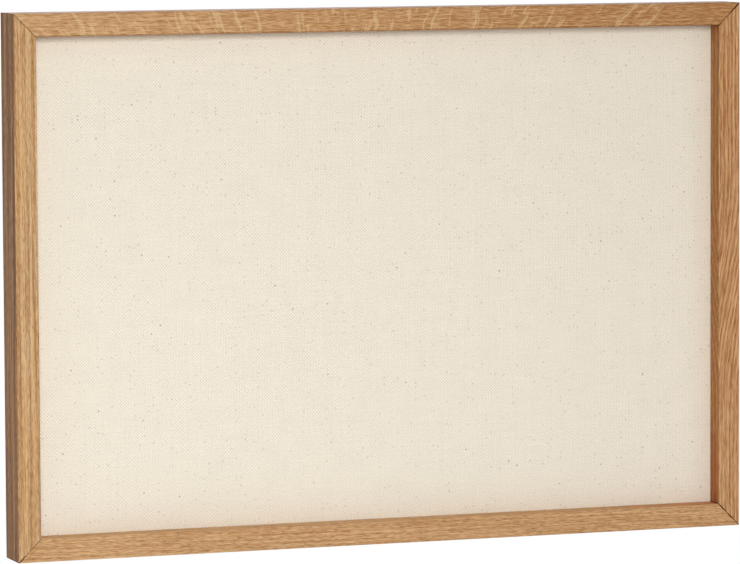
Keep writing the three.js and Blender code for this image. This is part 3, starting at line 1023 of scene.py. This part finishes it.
screw = fastener("screw", head=3.3 * MM, head_height=SCREW_HEAD_HEIGHT, rim=0.7 * MM,
                 shank=1.5 * MM, length=14 * MM, point=3 * MM, material=zinc)
wedge = begin("wedge", cube, size=1, location=(0, SCREW_HEAD_HEIGHT, 0),
              scale=(RECESS_SPAN, 2 * RECESS_DEPTH, RECESS_WIDTH))
pick("FACE", facing(-BACKWARDS))
bpy.ops.transform.resize(value=RECESS_TAPER)
end_editing()
cut_away(screw, wedge)
wedge.data.transform(Matrix.Rotation(pi / 2, 4, "Y"))
cut_away(screw, wedge)
print("screw:", len(screw.data.polygons), "faces")

# %% [markdown]
# Nobody lines up the recesses of eight screws, so each is left at an angle of
# its own, which follows from where the screw is.

# %% Place the screws
SCREW_TURNS = (7, 11)

for joint in frame["joints"]:
    spot = joint["child"].removeprefix("button_")
    node = "button_screw_" + spot
    seat = seat_of(node, SCREW_HEAD_HEIGHT)
    angle = pi * seat.x * SCREW_TURNS[0] + pi * seat.z * SCREW_TURNS[1]
    turned = Matrix.Rotation(angle, 4, "Y")
    placed = copy_of(screw, "pan_screw_" + spot, Matrix.Translation(seat) @ turned)
    settle(placed, node, "frame")
discard(screw, wedge)

# %% [markdown]
# ## The sawtooth hangers
#
# A sawtooth hanger is a brass-plated strip whose middle stands off the wood, so
# that a nail in the wall can catch in one of its teeth. It starts as a flat bar.
# Cuts across it mark the bends and the teeth; then the middle is lifted, and
# every second mark along the lower edge is pushed in to make a notch.

# %% Model one hanger
HANGER_LENGTH, HANGER_HEIGHT, HANGER_THICKNESS = 46 * MM, 8.4 * MM, 0.8 * MM
HANGER_TAB, HANGER_RAMP, HANGER_RISE = 8 * MM, 2.6 * MM, 1.4 * MM
TOOTH_PITCH, TOOTH_DEPTH, TOOTH_COUNT = 3.2 * MM, 2 * MM, 7
HANGER_CORNER = 1.6 * MM

hanger = begin("hanger", cube, size=1, location=(0, HANGER_THICKNESS / 2, 0),
               scale=(HANGER_LENGTH, HANGER_THICKNESS, HANGER_HEIGHT))
foot = HANGER_LENGTH / 2 - HANGER_TAB
crest = foot - HANGER_RAMP
marks = [i * TOOTH_PITCH / 2 for i in range(-TOOTH_COUNT, TOOTH_COUNT + 1)]
for mark in [-foot, -crest, crest, foot, *marks]:
    bpy.ops.mesh.select_all(action="SELECT")
    bpy.ops.mesh.bisect(plane_co=(mark, 0, 0), plane_no=(1, 0, 0))
pick("VERT", lambda vertex: abs(vertex.co.x) < crest + HAIR)
bpy.ops.transform.translate(value=(0, HANGER_RISE, 0))
notches = marks[1::2]
pick("VERT", lambda vertex: vertex.co.z < 0 and any(
    abs(vertex.co.x - notch) < HAIR for notch in notches))
bpy.ops.transform.translate(value=(0, 0, TOOTH_DEPTH))
pick("EDGE", lambda edge: runs(edge, BACKWARDS)
     and abs(middle(edge).x) > HANGER_LENGTH / 2 - HAIR)
bpy.ops.mesh.bevel(offset=HANGER_CORNER, segments=5, affect="EDGES")
end_editing()
print("hanger:", len(notches), "notches")

# %% [markdown]
# Each tab has a hole for its nail. One drill cuts both, and is moved across in
# between. A very fine bevel then takes the sharpness off every edge.

# %% Drill the nail holes
NAIL_PLACE = (HANGER_LENGTH - HANGER_TAB) / 2
NAIL_HOLE_RADIUS = 0.9 * MM

hole = begin("hole", cylinder, vertices=24, radius=NAIL_HOLE_RADIUS, depth=6 * MM,
             location=(NAIL_PLACE, 0, 0), rotation=FACING_WALL)
end_editing()
cut_away(hanger, hole)
hole.data.transform(Matrix.Translation((-2 * NAIL_PLACE, 0, 0)))
cut_away(hanger, hole)
soften(hanger, 0.14 * MM)
coat(hanger, brass)
print("hanger:", len(hanger.data.polygons), "faces")

# %% [markdown]
# One hanger is nailed to the top rail and one to the left rail, teeth inwards,
# so that the board can hang either way.

# %% Place the hangers and their nails
NAIL_HEAD_HEIGHT = 0.7 * MM

nail = fastener("nail", head=1.7 * MM, head_height=NAIL_HEAD_HEIGHT, rim=0.3 * MM,
                shank=0.7 * MM, length=10 * MM, point=1.6 * MM, material=brass)
for side, outwards in {"top": Vector((0, 0, 1)), "left": Vector((-1, 0, 0))}.items():
    seat = seat_of(side + "_hanger")
    turned = Matrix.Rotation(atan2(outwards.x, outwards.z), 4, "Y")
    placed = copy_of(hanger, "sawtooth_" + side, Matrix.Translation(seat) @ turned)
    settle(placed, side + "_hanger", "frame")
nails = [name for name in frame["nodes"] if name.startswith("hanger_nail_")]
for name in nails:
    seat = Matrix.Translation(seat_of(name, NAIL_HEAD_HEIGHT))
    placed = copy_of(nail, name.replace("hanger_nail", "brass_nail"), seat)
    settle(placed, name, "frame")
discard(hanger, hole, nail)
print("2 hangers and", len(nails), "nails placed")

# %% [markdown]
# ## The wall bumpers
#
# A rubber bumper near each corner keeps the frame off the wall. It is a disc
# with a well rounded rim and a small moulded dimple, which an inset and a push
# inwards make.

# %% Model a bumper and place four
BUMPER_RADIUS, BUMPER_RIM, DIMPLE_RADIUS = 4.4 * MM, 0.9 * MM, 1.3 * MM
DIMPLE_SLOPE, DIMPLE_DEPTH = 0.3 * MM, 0.4 * MM

pads = [name for name in frame["nodes"] if name.startswith("wall_pad_")]
low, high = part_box(pads[0])
bumper_depth = high.y - low.y
bumper = begin("bumper", cylinder, vertices=40, radius=BUMPER_RADIUS, depth=bumper_depth,
               location=(0, bumper_depth / 2, 0), rotation=FACING_WALL)
pick("EDGE", lambda edge: all(vertex.co.y > bumper_depth - HAIR for vertex in edge.verts))
bpy.ops.mesh.bevel(offset=BUMPER_RIM, segments=5, affect="EDGES")
pick("FACE", facing(BACKWARDS, least=0.99))
bpy.ops.mesh.inset(thickness=BUMPER_RADIUS - BUMPER_RIM - DIMPLE_RADIUS)
bpy.ops.mesh.inset(thickness=DIMPLE_SLOPE)
bpy.ops.transform.translate(value=(0, -DIMPLE_DEPTH, 0))
end_editing()
coat(bumper, grey_rubber)
for name in pads:
    seat = Matrix.Translation(seat_of(name))
    placed = copy_of(bumper, name.replace("wall_pad", "bumper"), seat)
    settle(placed, name, "frame")
discard(bumper)
print(len(pads), "bumpers placed")

# %% [markdown]
# ## The studio
#
# The board hangs before plain white, lit by seven soft lamps. The key stands
# almost beside the camera and a little above the board. It is aimed below the
# board, so that the lower part, though further away, gets as much of its light as
# the upper part. A large weak lamp high up softens the shadow of the top lip, and
# one far to the right lights the sides that look that way. Two small ones lift
# the lower half, the left one more, as the light on the board falls off a little
# from left to right. One stands low beside the left rail, whose outer side grows
# lighter towards its foot. The lamp behind is very wide and so not bright in
# itself, because the plated parts mirror it and would turn to plain white.

# %% Lamps
def lamp(name, place, width, height, power, aim=centre):
    """A soft rectangular lamp that looks at its aim."""
    data = bpy.data.lights.new(name, "AREA")
    data.shape = "RECTANGLE"
    data.size = width
    data.size_y = height
    data.energy = power
    made = bpy.data.objects.new(name, data)
    bpy.context.scene.collection.objects.link(made)
    made.location = place
    made.rotation_euler = (Vector(aim) - Vector(place)).to_track_quat("-Z", "Y").to_euler()
    print("lamp", name, "of", power, "W")


BELOW_THE_BOARD = (0, 0, -1.94)

lamp("key", (-0.80, -2.54, 0.48), width=0.6, height=0.9, power=47, aim=BELOW_THE_BOARD)
lamp("upper", (-0.6, -3.0, 2.6), width=1.6, height=1.6, power=12)
lamp("right", (3.0, -3.0, 0.4), width=1.2, height=1.2, power=12)
lamp("low_right", (0.36, -0.80, -0.42), width=0.4, height=0.4, power=0.70)
lamp("low_left", (-0.42, -0.78, -0.42), width=0.4, height=0.4, power=0.80)
lamp("side", (-0.75, -0.22, -0.70), width=0.3, height=0.3, power=0.52)
lamp("behind", (1.6, 3.2, 1.4), width=3, height=3, power=62)

# %% [markdown]
# The world adds a little light from everywhere. To the camera, and in
# reflections, it is plain white at strength 1, but it lights the board much less.

# %% World
AMBIENT = 0.13
WHITE = (1, 1, 1, 1)

world = bpy.data.worlds.new("studio")
bpy.context.scene.world = world
world.use_nodes = True
sky = Nodes(world.node_tree)
glow = sky.tree.nodes["Background"]
sky.feed(glow.inputs["Color"], WHITE)
sky.feed(glow.inputs["Strength"], sky.between(sky.seen(), 0.0, 1.0, AMBIENT, 1.0))
print("ambient light", AMBIENT, "of white")

# %% [markdown]
# The floor lies well below, as under a picture on a wall. It is pale and mostly
# bright to the camera, and its own shading keeps the shadow of the board.

# %% Floor
FLOOR_BELOW = 1.4
FLOOR_SIZE = 7.0
FLOOR_GLOW = 0.62

bpy.ops.object.select_all(action="DESELECT")
bpy.ops.mesh.primitive_plane_add(size=FLOOR_SIZE, location=(0, 0, centre.z - FLOOR_BELOW))
floor = bpy.context.object
floor.name = "floor"
pale = Recipe("pale_floor")
pale.feed(pale.shader.inputs["Emission Strength"], pale.times(pale.seen(), FLOOR_GLOW))
pale.set(Emission_Color=WHITE, Base_Color=tone(238, 238, 236), Roughness=0.9)
floor.data.materials.append(pale.finish())

# %% [markdown]
# ## Finish
#
# Standard view transform shows colours as they were written.

# %% Show colours as they were written
bpy.context.scene.view_settings.view_transform = "Standard"
